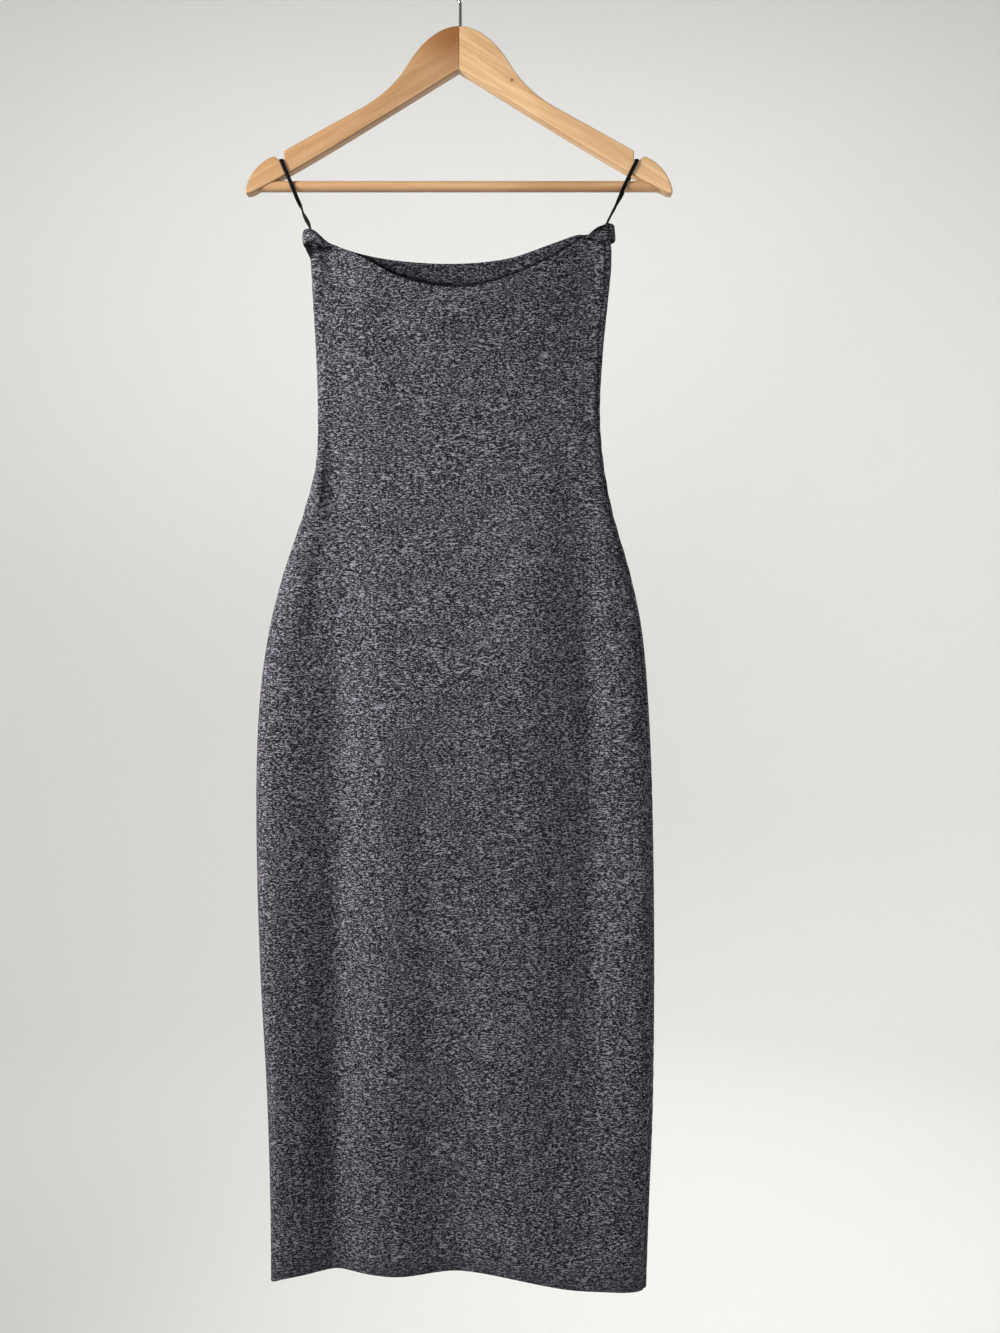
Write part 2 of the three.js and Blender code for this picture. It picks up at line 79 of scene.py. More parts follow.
# The lengthwise ridges and valleys of the front, left to right: (across, depth) at each level.
# sharp is 0 for a rounded line and 1 for a creased one
FRONT_LINES = [
    dict(line="left turn", sharp=0, neck=(-150, -6), waist=(-136.5, -7), hip=(-184, -18),
         thigh=(-186, -20), knee=(-182, -20), hem=(-180, -18)),
    dict(line="left valley", sharp=1, neck=(-123, -9), waist=(-124, -8), hip=(-126, -8),
         thigh=(-126.5, -5), knee=(-126, -2), hem=(-128.5, 1)),
    dict(line="left ridge", sharp=0, neck=(-76, -20), waist=(-77, -12), hip=(-72.5, -26),
         thigh=(-72.5, -27), knee=(-72.5, -25), hem=(-65.5, -20)),
    dict(line="centre valley", sharp=0.3, neck=(-7, -25), waist=(-7.5, -13), hip=(-7, -27),
         thigh=(-7, -25), knee=(-7.5, -18), hem=(-3, -10)),
    dict(line="right ridge", sharp=0, neck=(62, -21), waist=(57, -13), hip=(62, -28),
         thigh=(62, -29), knee=(57, -28), hem=(82.5, -28)),
    dict(line="right valley", sharp=0.8, neck=(128, -7), waist=(124.5, -8), hip=(136.5, -14),
         thigh=(136.5, -15), knee=(136, -19), hem=(135, -31)),
    dict(line="right turn", sharp=0, neck=(149.5, -6), waist=(137, -6), hip=(167, -20),
         thigh=(169, -22), knee=(168, -26), hem=(158.5, -32)),
]

# The same for the back, right to left
BACK_LINES = [
    dict(line="right turn", sharp=0, neck=(149, 5.5), waist=(132, 6), hip=(165, 15),
         thigh=(168, 16), knee=(164, 15), hem=(160, 15)),
    dict(line="right valley", sharp=0.5, neck=(80, 10), waist=(72, 7), hip=(74, 11),
         thigh=(78, 8), knee=(80, 7), hem=(84, 8)),
    dict(line="centre ridge", sharp=0, neck=(-5, 14), waist=(-20, 9), hip=(-28, 20),
         thigh=(-30, 20), knee=(-26, 18), hem=(-24, 18)),
    dict(line="left valley", sharp=0.5, neck=(-90, 9), waist=(-92, 7), hip=(-108, 12),
         thigh=(-106, 10), knee=(-98, 9), hem=(-92, 10)),
    dict(line="left turn", sharp=0, neck=(-150, 5.5), waist=(-134, 6), hip=(-180, 14),
         thigh=(-182, 15), knee=(-175, 14), hem=(-170, 14)),
]

# Top and lower edges of the cloth as they show, front and back, from corner to corner
NECKLINE = table(
    "x front back",
    (-156, -272, -272),
    (-137, -287, -285),
    (-101, -306.5, -296.5),
    (-60, -329, -302.5),
    (0, -340, -304),
    (52, -328, -299),
    (94, -308, -285.5),
    (137, -278, -271.5),
    (157, -268, -268),
)
HEMLINE = table(
    "x front back",
    (-196, -1364, -1364),
    (-180, -1356.5, -1358),
    (-128, -1353, -1352),
    (-60, -1353.5, -1350),
    (0, -1351, -1349),
    (60, -1354, -1351),
    (110, -1362, -1355),
    (160, -1363.5, -1361),
    (193, -1367, -1367),
)

# Each side seam's distance in from the side edge, the right one on the front and the left one on the back.
# It is at most a share of the stretch beside the edge
SEAM_INSET_MOST = 0.8
SEAM_INSET = table(
    "z left right",
    (-270, 3, 4),
    (-306, 3, 8),
    (-463, 2.5, 2),
    (-632, 5, 4),
    (-1023, 6, 5),
    (-1366, 5, 3),
)

# The top edge is turned outward over itself at both corners, where the loops pull on it
TURN_BAND = 22
TURN_RADIUS = 2.6
TURN_ANGLE = math.radians(176)
TURN_STARTS = 120
TURN_FULL = 150

# How fast a creased line's sides leave it, and the columns of the fine mesh in each stretch between lines
CREASE_RISE = 1.6
FRONT_COLUMNS = (3, 14, 14, 18, 22, 22, 26, 12, 12)
BACK_COLUMNS = (5, 12, 26, 32, 30, 26, 12)
BODY_ROWS = 250
BAND_ROWS = 26

# The rounded edge of the cloth: steps round it, and how far it stands out as a share of half the thickness
RIM_STEPS = 3
RIM_OUT = 0.6

# The ring's step on which its outward direction is measured
RING_STEP = 0.02

# Edges sharper than this many degrees stay sharp in the shading
SHARP_EDGES = dict(cloth=50, ribbon=60, arm=25, bar=40, wire=40, stage=60)

# Soft creases laid on the folds: a line from one point to another, half width and depth (- inward).
# Each fades in and out over these shares of its length
CREASE_FADE_IN = (-0.25, 0.35)
CREASE_FADE_OUT = (0.65, 1.25)
CREASES = {
    "front": table(
        "x0 z0 x1 z1 width depth",
        (-149, -291, -128, -325, 4.5, -2.2),
        (-140, -283, -112, -300, 6.0, 0.9),
        (134, -282, 149, -272, 7.0, -1.8),
        (146, -292, 140, -345, 4.0, -0.8),
        (-147, -345, -120, -395, 7.0, -0.5),
        (-112, -470, -60, -512, 12.0, -0.5),
        (40, -485, 108, -455, 12.0, -0.5),
        (-40, -545, 44, -560, 14.0, 0.4),
        (-133, -480, -131, -565, 9.0, -3.0),
        (-145, -470, -146, -570, 5.0, 1.8),
        (-138, -570, -158, -735, 10.0, -2.5),
        (-122, -610, -122, -745, 13.0, 3.0),
        (-150, -980, -163, -1210, 10.0, 0.9),
        (-137, -1160, -141, -1330, 13.0, -2.4),
        (-186, -1150, -184, -1320, 9.0, 1.3),
        (134, -610, 134, -860, 11.0, -1.4),
        (169, -600, 170, -860, 12.0, 0.9),
        (188, -800, 190, -1190, 11.0, 3.4),
        (78, -560, 74, -740, 26.0, 3.1),
        (8, -560, 4, -740, 20.0, -1.4),
        (-35, -880, -28, -1330, 13.0, -1.6),
        (-62, -900, -60, -1330, 14.0, 0.9),
        (28, -1180, 20, -1350, 12.0, 0.6),
        (100, -1130, 112, -1340, 13.0, -0.7),
        (-95, -1120, -99, -1345, 12.0, 0.7),
    ),
    "back": table(
        "x0 z0 x1 z1 width depth",
        (149, -291, 126, -322, 5.0, -1.4),
        (-150, -291, -130, -328, 5.0, -1.4),
        (110, -470, 52, -505, 13.0, -0.6),
        (-46, -480, -112, -460, 12.0, -0.6),
        (-30, -530, 36, -548, 15.0, -0.7),
        (20, -575, -44, -590, 15.0, 0.5),
        (160, -640, 146, -780, 9.0, -0.9),
        (-150, -660, -160, -800, 10.0, 0.9),
        (24, -900, 32, -1210, 14.0, -1.0),
        (-62, -1010, -58, -1330, 13.0, 0.8),
        (120, -1080, 126, -1335, 13.0, 0.8),
        (-140, -1120, -136, -1340, 12.0, -0.9),
    ),
}

# The fine mesh rounds the creased lines off in so many passes. They start at one distance in from a panel's
# side edge and are full at another
SOFTEN_PASSES = 8
SOFTEN_STARTS = 9
SOFTEN_FULL = 24

# Painted shade in the depths of the corner folds, as lines with a half width and a share taken from the
# painted shade mark
SHADE_MOST = 0.95
SHADES = table(
    "x0 z0 x1 z1 width share",
    (134, -281, 152, -273.5, 3.0, 1.0),
    (148.5, -284, 148, -298, 1.6, 0.5),
    (-161, -291, -154.5, -303, 4.5, 2.0),
    (-164, -290.5, -149, -289.5, 1.5, 0.9),
    (-152, -289.5, -137, -299.5, 1.8, 0.9),
    (-150, -290, -135, -317, 3.2, 0.4),
)

# How far the turned lips' outer ends are rounded in at their lower and upper corners, over what width and
# between what heights. The rounding is a quarter circle that stops just short of its end
LIP_ROUNDING = dict(left_low=3.6, left_high=4.4, right_low=3.4, right_high=0.8, width=8, low=-291, high=-268)
LIP_CURVE_END = 0.999

# Below the left lip the cloth still bulges out where the turned corner pulls it
LIP_BULGE = dict(z=-291, height=8, reach=9, out=4.2)

# Both side seams draw the cloth in along a narrow line and pucker it a little. The puckers' length wanders
# and their depth is uneven, each along a slower wave
SEAM_PINCH = 1.1
SEAM_PINCH_WIDTH = 2.2
PUCKER_DEPTH = 0.45
PUCKER_LENGTH = 21.0
PUCKER_WIDTH = 9.0
PUCKER_WANDER = 2.2
PUCKER_WANDER_LENGTH = 61
PUCKER_UNEVEN = 0.4
PUCKER_UNEVEN_LENGTH = 47

# Painted shade on the inside: the inner side is painted darker than the face, darkest below the other
# panel's edge and up to a share of the mouth's depth above it. The heights are where the dark part ends and
# where the light part is full.
# Where the band is turned over, its inner side shows from one place up the band, and in full from another:
# 1 is the band's foot and 2 its raw edge
INSIDE_PAINTED_SHADE = 0.74
INSIDE_DARK = 0.14
INSIDE_DARK_SHARE = 0.345
INSIDE_DARK_ENDS = 0.8
INSIDE_LIGHT_STARTS = 4.2
TURNED_ROWS = (1.1, 1.4)
MOUTH_SAMPLES = 120

# Hanger loops: how many degrees the width of each is turned from the X axis at each height
LOOP_TURNS = {
    "left": table("z turn", (-280, 90), (-269, 104), (-264, 150), (-259, 132), (-252.5, 88), (-247, 34),
                  (-240, 8), (-226, 0)),
    "right": table("z turn", (-280, 90), (-268, 84), (-257, 68), (-246, 38), (-236, 14), (-226, 0)),
}
RIBBON_WIDTH = 4.1
RIBBON_THICKNESS = 0.7
RIBBON_SPACE = 1.0
RIBBON_STEPS = 220
FIT = 0.3
LOOP_NOTCH = 184.2
LOOP_STAND_OFF = 2.7

# Heights on a loop's route, above the cloth's rim and in the frame
LOOP_ABOVE_RIM = dict(end=-20, tab=-8, over_rim=2.4, twist=16)
LOOP_FLAT = -238
LOOP_WOOD = -222

# The bend at the notch's floor, how far the route is in front of the cloth's middle at the rim and the
# twist, how far behind the wood's face where it first lies flat, and how far outward it moves at the rim
LOOP_BEND = 2.1
LOOP_RIM_DEPTH = 0.8
LOOP_TWIST_DEPTH = 3.4
LOOP_FLAT_DEPTH = 1
LOOP_RIM_OUT = 1.2
LOOP_LEAN_OUT = 1.6

# Hanger
WOOD_THICKNESS = 12
WOOD_EDGE = 1.4
WOOD_EDGE_STEPS = 5
JOINT_GAP = SEAM_GAP / 2
JOINT_EASE = 0.1
JOINT = -0.8
CROWN = -63.2
CROTCH = -108.7
TIP = 221.8
NOTCH_INNER = 181.6
NOTCH_OUTER = 186.8
NOTCH_LIP = 191.8
NOTCH_MOUTH = -192.8
NOTCH_FLOOR = -202.2
NOTCH_LIP_HEIGHT = -198.4
BAR_RADIUS = 5.6
BAR_HEIGHT = -228
BAR_SIDES = 64
BAR_MIDDLE_RINGS = 17
BAR_MIDDLE = 0.8
BAR_END_RINGS = (0.9, 0.97, 1)

# One arm's outline by distance from the joint and height: each curve's steps and its control points
ARM_TOP = [
    (24, (JOINT_GAP, CROWN), (24, CROWN), (44, -87), (53, -102.5)),
    (20, (53, -102.5), (62, -118), (77.5, -134.5), (99.6, -147.2)),
    (16, (99.6, -147.2), (138, -168), (NOTCH_INNER, NOTCH_MOUTH)),
]
ARM_NOTCH = [(NOTCH_INNER, NOTCH_FLOOR), (NOTCH_OUTER, NOTCH_FLOOR), (NOTCH_LIP, NOTCH_LIP_HEIGHT)]
ARM_TIP = [
    (18, (NOTCH_LIP, NOTCH_LIP_HEIGHT), (204, -201.5), (219.5, -216), (TIP, -235)),
    (8, (TIP, -235), (TIP, -238.5), (215, -236.3)),
]
ARM_UNDERSIDE = (36, (215, -236.3), (150, -203.5), (72, -152.5), (JOINT_GAP, CROTCH))

# The wire hook. The swing is a curve with a handle along the stem and one along the bow, of these lengths
WIRE = 1.5
WIRE_SIDES = 20
WIRE_TIP_ANGLES = (25, 50, 70, 84)
BOW = 15.5
BOW_TIP = -28
STEM_X = 0.4
STEM_FOOT = -85
STEM_TOP = -38
SWING_FROM_STEM = 8
SWING_TO_BOW = 13.5
HOOK_STEPS = dict(stem=12, swing=20, bow=60)

# Marl: noise scales in features to the metre, and each part as noise from, noise to, value from, value to.
# The hem's tint and the seams' painted shade fade over distances in millimetres, as the mesh's marks do
SLUB_SCALE = (250, 250, 900)
GRAIN_SCALE = (540, 540, 1080)
CLOUD_SCALE = (26, 26, 40)
SLUB_LIGHT = (0.535, 0.69, 0.0, 0.9)
GRAIN_LIGHT = (0.53, 0.655, 0.0, 0.9)
CLOUD_LIGHT = (0.3, 0.7, -0.025, 0.02)
HEM_FADE = (4, 24, 0.4, 0.0)
SEAM_FADE = (0.4, 2.4, 0.35, 1.0)
MARL_DARK = (0.0075, 0.0068, 0.0092, 1)
MARL_LIGHT = (0.218, 0.2075, 0.246, 1)
HEM_TINT = (0.028, 0.024, 0.033, 1)

# Ribbon
THREAD_SCALE = (2400, 2400, 160)
RIBBON_DARK = (0.0006, 0.0006, 0.0008, 1)
RIBBON_LIGHT = (0.002, 0.0018, 0.0024, 1)

# Wood: noise scales, the spread of the grain and the figure, and the darker and lighter colours
FINE_SCALE = (28, 900, 900)
FIGURE_SCALE = (9, 90, 140)
FINE_SPREAD = (0.50, 0.74, 0.0, 0.45)
FIGURE_SPREAD = (0.3, 0.7)
ARM_COLOURS = {
    -1: ((0.35, 0.19, 0.08, 1), (0.43, 0.255, 0.122, 1)),
    1: ((0.52, 0.31, 0.148, 1), (0.65, 0.43, 0.232, 1)),
}
ARM_GRAIN = (0.30, 0.15, 0.06, 1)
ARM_SLOPE = 31
BAR_COLOURS = ((0.39, 0.215, 0.098, 1), (0.475, 0.285, 0.147, 1))
BAR_GRAIN = (0.26, 0.13, 0.055, 1)

# Painted shade as darker lines along the arms' rounded edges, by how far a face looks to the front or back
EDGE_FACING = (0.75, 0.98, 0.45, 0.0)
SIDE_FACING = (0.05, 0.35, 0.15, 1.0)
EDGE_SHADE_COLOUR = (0.13, 0.06, 0.025, 1)

# The arms' tips are worn, beyond a distance from the joint and below a height, in metres
TIP_WORN = (0.22, 0.11, 0.05, 1)
TIP_WORN_FROM = (0.2195, 0.2222)
TIP_WORN_BELOW = (-0.232, -0.226, 1.0, 0.0)

# The left arm's brown part, across and by height in metres, and its cross figure
CROWN_BROWN = (0.235, 0.090, 0.022, 1)
BROWN_ACROSS = (-0.085, -0.002)
BROWN_HEIGHTS = (-0.120, -0.075)
BROWN_FIGURE = (0.2, 0.55, 0.55, 1.0)
CROSS_SCALE = (60, 700, 700)
CROSS_SLOPE = 74
CROSS_SPREAD = (0.5, 0.72, 0.0, 0.22)

# The right arm's knot, its paler ring and the vein that runs up from it, in metres
KNOT_PLACE = (0.0542, -0.1197)
KNOT_DARK = (0.045, 0.018, 0.008, 1)
KNOT_EDGE = (0.0013, 0.0022, 1.0, 0.0)
KNOT_RING = (0.45, 0.26, 0.11, 1)
KNOT_RING_EDGE = (0.002, 0.009, 0.35, 0.0)
VEIN_DARK = (0.25, 0.12, 0.05, 1)
VEIN_SLOPE = 0.66
VEIN_EDGE = (0.0002, 0.0007, 0.4, 0.0)
VEIN_STARTS = (-0.036, -0.030)
VEIN_ENDS = (-0.006, 0.0, 1.0, 0.0)

# Steel
DRAW_SCALE = (900, 900, 120)
DRAW_ROUGHNESS = (0.3, 0.7, 0.16, 0.3)
STEEL = (0.30, 0.30, 0.31, 1)

# Camera and stage
CAMERA_PLACE = (41.7, -1250, -727.9)
CAMERA_FOCAL_PX = 1199.6
PHOTO_HEIGHT_PX = 1333
SENSOR = 36

# Lights, in metres, watts and degrees: name, place, target, size, power, spread, colour
LIGHTS = [
    ("key", (-1.8, -0.95, -0.05), (0, 0, -0.68), 0.7, 21.4, 76, (1.0, 0.985, 0.965)),
    ("right", (1.9, -0.9, -0.5), (0, 0, -0.8), 1.0, 13.2, 180, (1.0, 1.0, 1.0)),
    ("fill", (0.7, -2.6, 0.1), (0, 0, -0.7), 2.0, 13.9, 180, (0.96, 0.97, 1.0)),
    ("behind", (0.6, 2.4, 0.9), (0, 0, -0.75), 2.0, 19.0, 180, (1.0, 0.99, 0.97)),
    ("wall", (0.0, 1.2, 1.6), (0, 4.4, -0.4), 2.0, 91.0, 180, (1.0, 1.0, 1.0)),
]
WORLD_LIGHT = 0.03
WORLD_COLOUR = (0.97, 0.98, 1.0, 1)

# The stage is round, with a small disc at its middle, and open at the top
FLOOR_HEIGHT = -1.95
STAGE_MIDDLE = 0.02
STAGE_RADIUS = 4.4
STAGE_BEND = 1.6
STAGE_BEND_STEPS = 13
STAGE_TOP = 3.0
STAGE_SIDES = 96
STAGE_SPECKLE = (40, 40, 40)
STAGE_COLOURS = ((0.78, 0.775, 0.755, 1), (0.80, 0.795, 0.775, 1))


def unit(vectors):
    return vectors / np.linalg.norm(vectors, axis=-1, keepdims=True)


def hermite(start, end, start_slope, end_slope, w):
    w2 = w * w
    w3 = w2 * w
    return (start * (2 * w3 - 3 * w2 + 1) + start_slope * (w3 - 2 * w2 + w)
            + end * (3 * w2 - 2 * w3) + end_slope * (w3 - w2))


def smoothstep(low, high, value):
    t = np.clip((value - low) / (high - low), 0, 1)
    return t * t * (3 - 2 * t)


def read_table(keys, values, at):
    """A smooth cubic through the rows, level past both ends."""
    order = np.argsort(keys)
    keys = np.asarray(keys, float)[order]
    values = np.asarray(values, float)[order]
    slopes = np.gradient(values, keys, edge_order=1)
    slopes[1:-1] = (values[2:] - values[:-2]) / (keys[2:] - keys[:-2])
    at = np.clip(at, keys[0], keys[-1])
    i = np.clip(np.searchsorted(keys, at, side="right") - 1, 0, len(keys) - 2)
    step = keys[i + 1] - keys[i]
    return hermite(values[i], values[i + 1], slopes[i] * step, slopes[i + 1] * step, (at - keys[i]) / step)


class FoldLine:
    """A ridge or valley, read at any height."""

    edge = False

    def __init__(self, row):
        self.sharp = row["sharp"]
        self.z = np.array(list(LEVELS.values()), float)
        self.x, self.y = np.array([row[level] for level in LEVELS], float).T

    def at(self, z):
        return read_table(self.z, self.x, z), read_table(self.z, self.y, z)


class SideEdge:
    """The left or right edge of the flat tube."""

    edge = True

    def __init__(self, side):
        self.side = side
        self.inward = CLOTH / 2 if side == "left" else -CLOTH / 2

    def at(self, z):
        x = read_table(OUTLINE["z"], OUTLINE[self.side], z) + self.inward
        return x, read_table(OUTLINE["z"], OUTLINE[self.side + "_depth"], z)


# The dress as one ring of lines. A place on the ring is a line's index plus the way to the next line
LEFT_EDGE = SideEdge("left")
RIGHT_EDGE = SideEdge("right")
RING = [LEFT_EDGE, *map(FoldLine, FRONT_LINES), RIGHT_EDGE, *map(FoldLine, BACK_LINES), LEFT_EDGE]
RIGHT_PLACE = len(FRONT_LINES) + 1
FULL_TURN = len(RING) - 1


def between(start, end, w, z):
    ax, ay = start.at(z)
    bx, by = end.at(z)
    turn = w * math.pi / 2
    if start.edge:
        return bx - (bx - ax) * np.cos(turn), ay + (by - ay) * np.sin(turn)
    if end.edge:
        return ax + (bx - ax) * np.sin(turn), by + (ay - by) * np.cos(turn)
    rise = CREASE_RISE * (by - ay)
    return ax + (bx - ax) * w, hermite(ay, by, start.sharp * rise, end.sharp * rise, w)


def ring_point(place, z):
    place, z = np.broadcast_arrays(np.asarray(place, float), np.asarray(z, float))
    wrapped = np.where(place < 0, place + FULL_TURN, place)
    index = np.minimum(np.floor(wrapped), FULL_TURN - 1).astype(int)
    x = np.empty(z.shape)
    y = np.empty(z.shape)
    for i in range(FULL_TURN):
        here = index == i
        if here.any():
            x[here], y[here] = between(RING[i], RING[i + 1], wrapped[here] - i, z[here])
    return x, y


def edge_height(edge_line, place, level):
    x, _ = ring_point(place, LEVELS[level])
    front = read_table(edge_line["x"], edge_line["front"], x)
    back = read_table(edge_line["x"], edge_line["back"], x)
    return np.where((place >= 0) & (place <= RIGHT_PLACE), front, back)


def band_foot(place):
    """Height where the top band starts, and how much of the band is straight and turned over."""
    x, _ = ring_point(place, LEVELS["neck"])
    turned = TURN_BAND * smoothstep(TURN_STARTS, TURN_FULL, np.abs(x))
    straight = TURN_BAND - turned
    rise = TURN_RADIUS * np.sin(np.minimum(turned / TURN_RADIUS, math.pi / 2))
    return edge_height(NECKLINE, place, "neck") - straight - rise, straight


def body_height(place, up):
    foot, _ = band_foot(place)
    hem = edge_height(HEMLINE, place, "hem")
    return hem + (foot - hem) * np.minimum(up, 1)


def cloth_point(place, up):
    """The middle of the cloth: up is 0 at the hem, 1 where the top band starts and 2 at its raw edge."""
    foot, straight = band_foot(place)
    z = body_height(place, up)
    x, y = ring_point(place, z)
    run = np.maximum(up - 1, 0) * TURN_BAND
    curled = np.maximum(run - straight, 0)
    bend = np.minimum(curled / TURN_RADIUS, TURN_ANGLE)
    flap = curled - bend * TURN_RADIUS
    rise = np.minimum(run, straight) + TURN_RADIUS * np.sin(bend) + flap * np.cos(bend)
    out = TURN_RADIUS * (1 - np.cos(bend)) + flap * np.sin(bend)
    face_x, face_y = outward_on_ring(place, foot)
    return np.stack([x + face_x * out, y + face_y * out, z + rise], axis=-1)


def outward_on_ring(place, z):
    ax, ay = ring_point(place - RING_STEP, z)
    bx, by = ring_point(place + RING_STEP, z)
    length = np.hypot(bx - ax, by - ay)
    return (by - ay) / length, (ax - bx) / length


def seam_places(z):
    """Places of the left and right side seams at each height."""
    def share(side, edge, line):
        width = np.abs(edge.at(z)[0] - line.at(z)[0])
        inset = np.minimum(read_table(SEAM_INSET["z"], SEAM_INSET[side], z), width * SEAM_INSET_MOST)
        return 1 - np.arcsin(1 - inset / width) / (math.pi / 2)
    left = -share("left", LEFT_EDGE, RING[FULL_TURN - 1])
    right = RIGHT_PLACE - share("right", RIGHT_EDGE, RING[RIGHT_PLACE - 1])
    return left, right


def stations(panel, z):
    """The places that divide a panel into stretches, from seam to seam."""
    left, right = seam_places(z)
    if panel == "front":
        inner = range(0, RIGHT_PLACE)
        return [left, *(np.full(z.shape, float(i)) for i in inner), right]
    inner = range(RIGHT_PLACE, FULL_TURN)
    return [right, *(np.full(z.shape, float(i)) for i in inner), left + FULL_TURN]


def panel_places(panel, columns, ups):
    """Place on the ring of every column at every row."""
    rows = []
    hip = np.array([float(LEVELS["hip"])])
    marks = [mark[0] for mark in stations(panel, hip)]
    for stretch, count in enumerate(columns):
        last = stretch == len(columns) - 1
        for step in range(count + last):
            w = step / count
            at_hip = marks[stretch] + (marks[stretch + 1] - marks[stretch]) * w
            z = body_height(np.full(ups.shape, at_hip), ups)
            ends = stations(panel, z)
            rows.append(ends[stretch] * (1 - w) + ends[stretch + 1] * w)
    return np.array(rows)


def grid_normals(points):
    across = np.gradient(points, axis=0)
    upward = np.gradient(points, axis=1)
    return unit(np.cross(across, upward))


def crease_depth(creases, x, z):
    """Sum of the soft troughs and ridges at each point."""
    depth = np.zeros(x.shape)
    for x0, z0, x1, z1, width, deep in zip(*creases.values()):
        length = math.hypot(x1 - x0, z1 - z0)
        along_x, along_z = (x1 - x0) / length, (z1 - z0) / length
        along = ((x - x0) * along_x + (z - z0) * along_z) / length
        aside = (x - x0) * along_z - (z - z0) * along_x
        fade = smoothstep(*CREASE_FADE_IN, along) * (1 - smoothstep(*CREASE_FADE_OUT, along))
        depth += deep * fade * np.exp(-(aside / width) ** 2)
    return depth


def side_distance(points):
    """Distance of each point of a panel from the nearer of its side edges, along the cloth."""
    steps = np.linalg.norm(np.diff(points, axis=0), axis=-1)
    run = np.concatenate([np.zeros((1, points.shape[1])), np.cumsum(steps, axis=0)])
    return np.minimum(run, run[-1] - run)


def soften(points, from_side):
    """The grid with its creased lines rounded off, away from the side edges."""
    share = smoothstep(SOFTEN_STARTS, SOFTEN_FULL, from_side)[1:-1, :, None]
    points = points.copy()
    for _ in range(SOFTEN_PASSES):
        mean = (points[:-2] + 2 * points[1:-1] + points[2:]) / 4
        points[1:-1] += (mean - points[1:-1]) * share
    return points


def seam_relief(from_side, z):
    """The seams' pinch and pucker."""
    wander = PUCKER_WANDER * np.sin(z / PUCKER_WANDER_LENGTH)
    waves = np.sin(z * 2 * math.pi / PUCKER_LENGTH + wander)
    uneven = 1 - PUCKER_UNEVEN + PUCKER_UNEVEN * np.sin(z / PUCKER_UNEVEN_LENGTH + 1)
    pinch = -SEAM_PINCH * np.exp(-(from_side / SEAM_PINCH_WIDTH) ** 2)
    return pinch + PUCKER_DEPTH * waves * uneven * np.exp(-(from_side / PUCKER_WIDTH) ** 2)


def lip_rounding(points):
    """How far each point of the turned lips is moved towards the middle."""
    x, z = points[..., 0], points[..., 2]
    size = LIP_ROUNDING
    level = np.clip((z - size["low"]) / (size["high"] - size["low"]), 0, 1) * 2 - 1
    curve = 1 - np.sqrt(1 - np.minimum(np.abs(level), LIP_CURVE_END) ** 2)
    moved = np.zeros(x.shape)
    for side, sign in (("left", -1), ("right", 1)):
        end = (x * sign).max()
        near = smoothstep(end - size["width"], end, x * sign)
        reach = np.where(level < 0, size[side + "_low"], size[side + "_high"])
        moved -= sign * near * reach * curve
    return moved


def lip_bulge(points):
    """How far the cloth below the left lip stands out to the left."""
    edge_x = read_table(OUTLINE["z"], OUTLINE["left"], points[..., 2])
    near = 1 - smoothstep(0, LIP_BULGE["reach"], points[..., 0] - edge_x)
    level = np.exp(-((points[..., 2] - LIP_BULGE["z"]) / LIP_BULGE["height"]) ** 2)
    return -LIP_BULGE["out"] * near * level


def fold_shade(panel, points):
    """Painted shade on the front where its corner folds are deepest."""
    if panel == "back":
        return np.ones(points.shape[:2])
    return 1 - np.clip(crease_depth(SHADES, points[..., 0], points[..., 2]), 0, SHADE_MOST)


def inside_shade(panel, points, places, ups):
    """Painted shade on the cloth's inner side: the mouth is open at the top, and the inside is painted dark
    below the other panel's edge.

    Where the top band is turned over, its inner side is outside, in full light, with no painted shade."""
    x, z = points[..., 0], points[..., 2]
    other = "back" if panel == "front" else "front"
    neck = float(LEVELS["neck"])
    front = ring_point(np.linspace(0, RIGHT_PLACE, MOUTH_SAMPLES), neck)
    back = ring_point(np.linspace(FULL_TURN, RIGHT_PLACE, MOUTH_SAMPLES), neck)
    depth = np.interp(x, *back) - np.interp(x, *front)
    above = z - read_table(NECKLINE["x"], NECKLINE[other], x) - INSIDE_DARK_SHARE * depth
    light = smoothstep(INSIDE_DARK_ENDS, INSIDE_LIGHT_STARTS, above)
    painted_shade = INSIDE_DARK + (INSIDE_PAINTED_SHADE - INSIDE_DARK) * light
    at_neck, _ = ring_point(places, neck)
    turned = smoothstep(TURN_STARTS, TURN_FULL, np.abs(at_neck)) * smoothstep(*TURNED_ROWS, ups)
    return painted_shade + (1 - painted_shade) * turned


def link_mesh(name, points, faces, kind):
    """A smooth shaded object in the scene, with the sharp edges of its kind kept."""
    mesh = bpy.data.meshes.new(name)
    mesh.from_pydata((np.asarray(points) * MM).tolist(), [], faces)
    mesh.validate()
    mesh.shade_smooth()
    mesh.set_sharp_from_angle(angle=math.radians(SHARP_EDGES[kind]))
    obj = bpy.data.objects.new(name, mesh)
    bpy.context.scene.collection.objects.link(obj)
    return obj


def float_attribute(obj, name, values):
    attribute = obj.data.attributes.new(name, "FLOAT", "POINT")
    attribute.data.foreach_set("value", np.asarray(values, np.float32).ravel())


def rim(middle, normal, beyond):
    """Points round a cloth edge, from the outer face to the inner one."""
    angles = np.linspace(0, math.pi, RIM_STEPS + 2)[1:-1]
    half = CLOTH / 2
    out = half * RIM_OUT
    return [middle + normal * half * math.cos(a) + beyond * out * math.sin(a) for a in angles]


